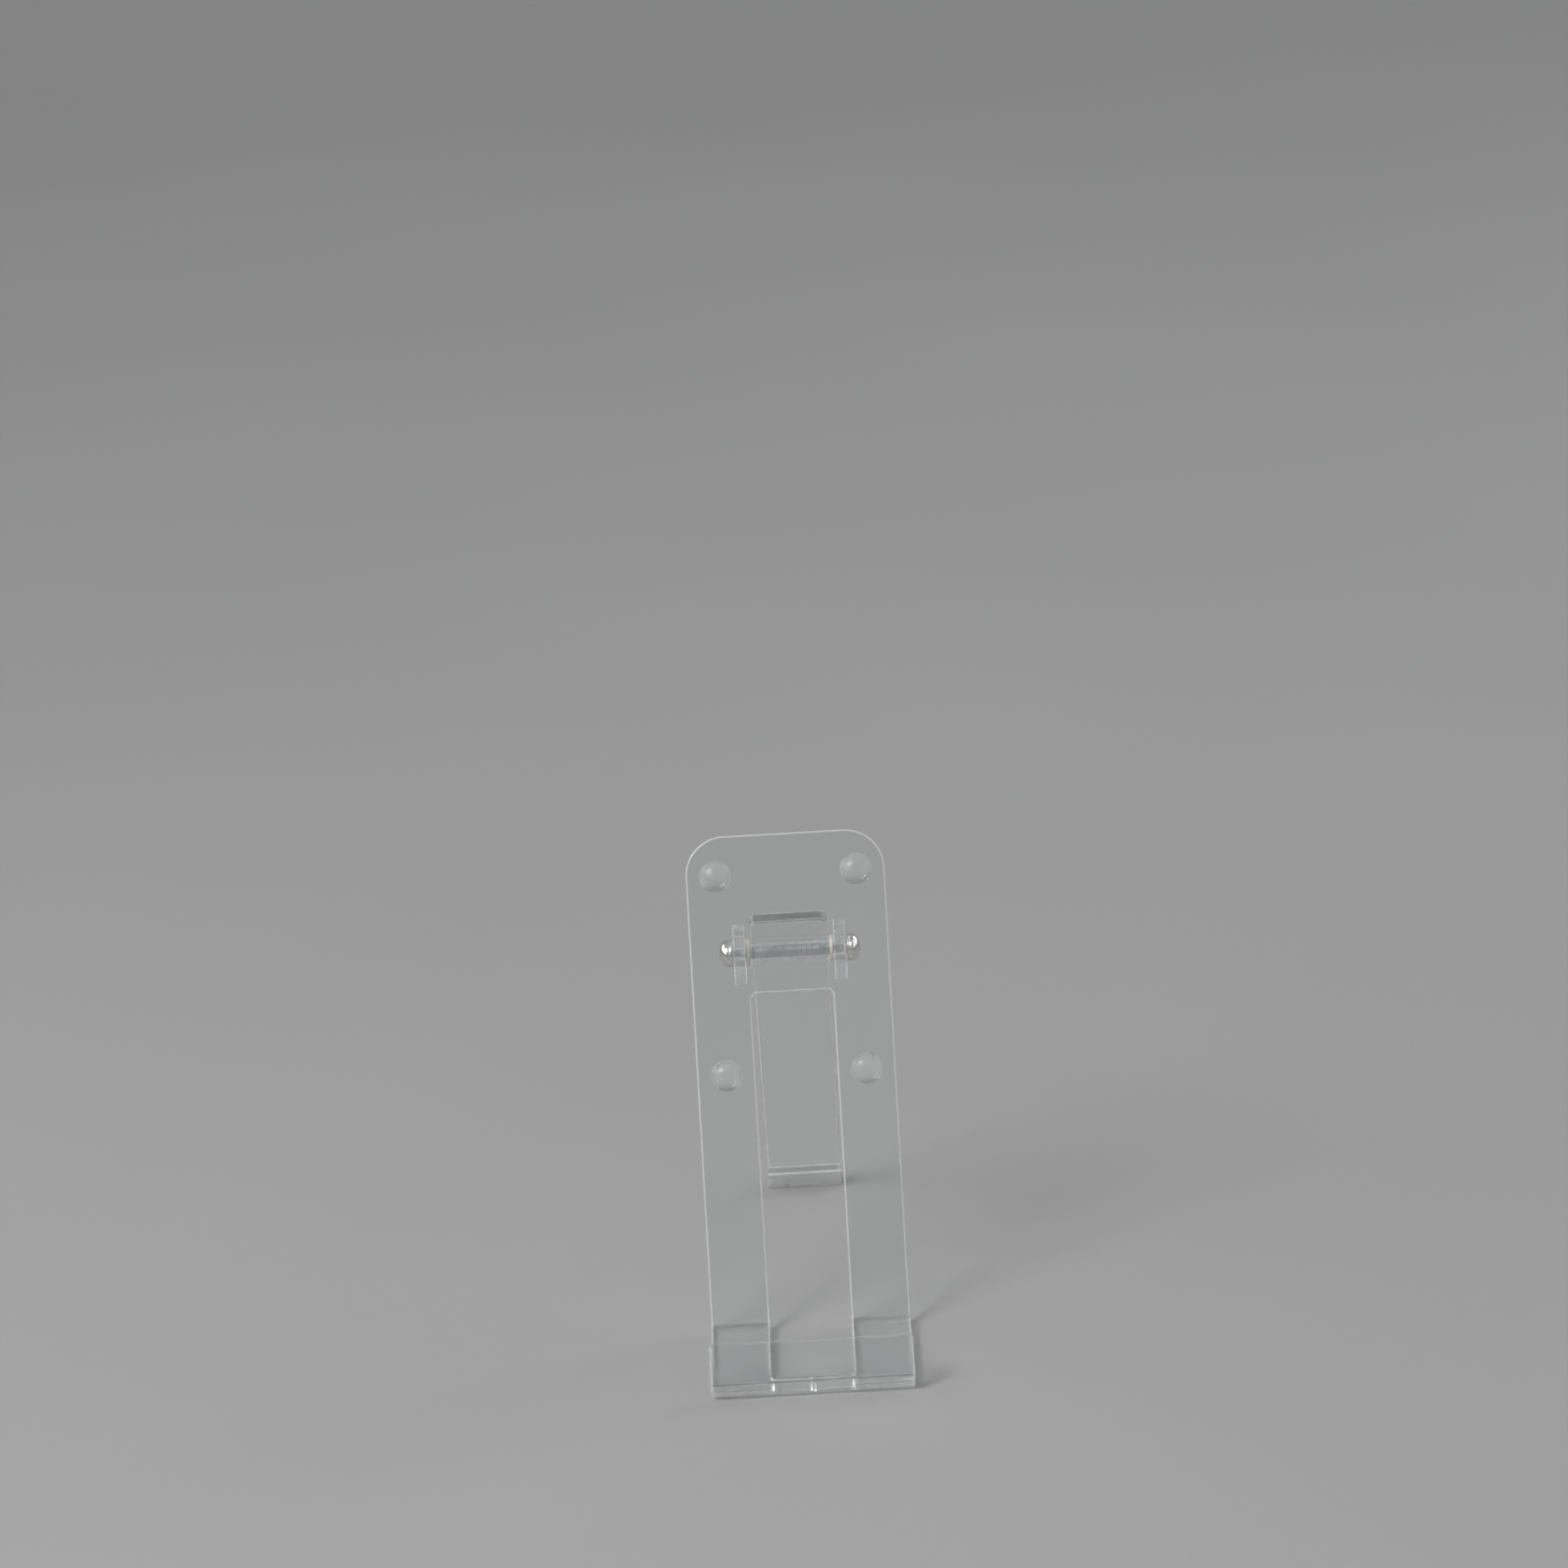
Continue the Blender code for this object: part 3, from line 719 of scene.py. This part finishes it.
make_body()
make_cheeks()
make_pin()
make_bumpers()
make_strut()


# ---------------------------------------------------------------- the stage, the light and the camera
def make_stage():
    """A round sweep: flat floor, then a wide curve that rises half a metre all round."""
    profile = [(0.0, 0.0)] + [(0.15 * i, 0.0) for i in range(1, 11)]
    profile += [(1.5 + 1.3 * math.sin(math.radians(t)), 1.3 * (1 - math.cos(math.radians(t)))) for t in range(5, 51, 5)]
    bm = bmesh.new()
    n = 96
    rings = [
        [bm.verts.new((0, 0, c))] if r == 0 else [bm.verts.new((a, b, c)) for a, b in circle(0, 0, r, n)]
        for r, c in profile
    ]
    for low, high in zip(rings, rings[1:]):
        for i in range(n):
            j = (i + 1) % n
            bm.faces.new([low[0], high[i], high[j]] if len(low) == 1 else [low[i], high[i], high[j], low[j]])
    mesh = bpy.data.meshes.new("studio_sweep")
    bm.to_mesh(mesh)
    bm.free()
    mesh.materials.append(paper())
    mesh.shade_smooth()
    o = bpy.data.objects.new("studio_sweep", mesh)
    bpy.context.scene.collection.objects.link(o)
    o.location.z = -0.00005


def area(name, place, target, size, power, colour=(1, 1, 1), shape="RECTANGLE", size_y=None):
    light = bpy.data.lights.new(name, "AREA")
    light.shape = shape
    light.size = size
    light.size_y = size_y or size
    light.energy = power
    light.color = colour
    o = bpy.data.objects.new(name, light)
    bpy.context.scene.collection.objects.link(o)
    o.location = place
    o.rotation_euler = (Vector(target) - Vector(place)).to_track_quat("-Z", "Y").to_euler()
    o.visible_camera = False
    return o


make_stage()
area("key_softbox", (-0.80, -0.75, 1.15), (0, 0, 0.04), 0.66, 12.0, (1.0, 0.995, 0.985), size_y=0.60)
area("rim_softbox", (0.95, 0.75, 0.95), (0, 0, 0.05), 0.50, 2.2, (1.0, 1.0, 1.0), size_y=0.50)


def make_tent():
    """An even light tent: dim grey all round, with a white wall on the left and a softer one on the right."""
    w = bpy.data.worlds.new("light_tent")
    bpy.context.scene.world = w
    w.use_nodes = True
    tree = w.node_tree
    background = tree.nodes["Background"]
    background.inputs["Color"].default_value = (0.99, 0.995, 1.0, 1)
    split = tree.nodes.new("ShaderNodeSeparateXYZ")
    tree.links.new(tree.nodes.new("ShaderNodeTexCoord").outputs["Generated"], split.inputs[0])

    def ramp(socket, low, high, a, b):
        n = tree.nodes.new("ShaderNodeMapRange")
        n.interpolation_type = "SMOOTHSTEP"
        for key, v in (("From Min", low), ("From Max", high), ("To Min", a), ("To Max", b)):
            n.inputs[key].default_value = v
        tree.links.new(socket, n.inputs["Value"])
        return n.outputs["Result"]

    def maths(op, a, b):
        n = tree.nodes.new("ShaderNodeMath")
        n.operation = op
        for i, v in enumerate((a, b)):
            if isinstance(v, float):
                n.inputs[i].default_value = v
            else:
                tree.links.new(v, n.inputs[i])
        return n.outputs[0]

    left = ramp(split.outputs["X"], -0.80, -0.50, TENT_LEFT, 0.0)
    right = ramp(split.outputs["X"], 0.50, 0.80, 0.0, TENT_RIGHT)
    lower = ramp(split.outputs["Z"], 0.50, 0.70, 1.0, 0.0)
    walls = maths("MULTIPLY", maths("ADD", left, right), lower)
    tree.links.new(maths("ADD", walls, TENT_GREY), background.inputs["Strength"])


TENT_GREY, TENT_LEFT, TENT_RIGHT = 0.34, 1.5, 0.9
make_tent()


def make_camera():
    """Long lens in front of the stand and above it, rolled a little."""
    pitch, roll, azimuth = math.radians(18.47), math.radians(3.41), math.radians(-0.41)
    distance, aim = 1.3879, Vector((0.00155, -0.06935, 0.15828))
    cam = bpy.data.cameras.new("photo_camera")
    cam.lens, cam.sensor_width = 135.0, 36.0
    cam.clip_start, cam.clip_end = 0.02, 30.0
    o = bpy.data.objects.new("photo_camera", cam)
    bpy.context.scene.collection.objects.link(o)
    forward = Vector((math.sin(azimuth) * math.cos(pitch), math.cos(azimuth) * math.cos(pitch), -math.sin(pitch)))
    right = Vector((math.cos(azimuth), -math.sin(azimuth), 0))
    up = right.cross(forward)
    r, u = right * math.cos(roll) - up * math.sin(roll), up * math.cos(roll) + right * math.sin(roll)
    o.matrix_world = Matrix.Translation(aim - forward * distance) @ Matrix((r, u, -forward)).transposed().to_4x4()
    bpy.context.scene.camera = o


make_camera()
bpy.context.scene.view_settings.view_transform = "Standard"
paths = bpy.context.scene.cycles
paths.blur_glossy = 0.0  # the floor under a clear sheet keeps its light
paths.max_bounces = paths.transmission_bounces = paths.glossy_bounces = 32  # light runs far inside the sheet

bpy.context.view_layer.update()
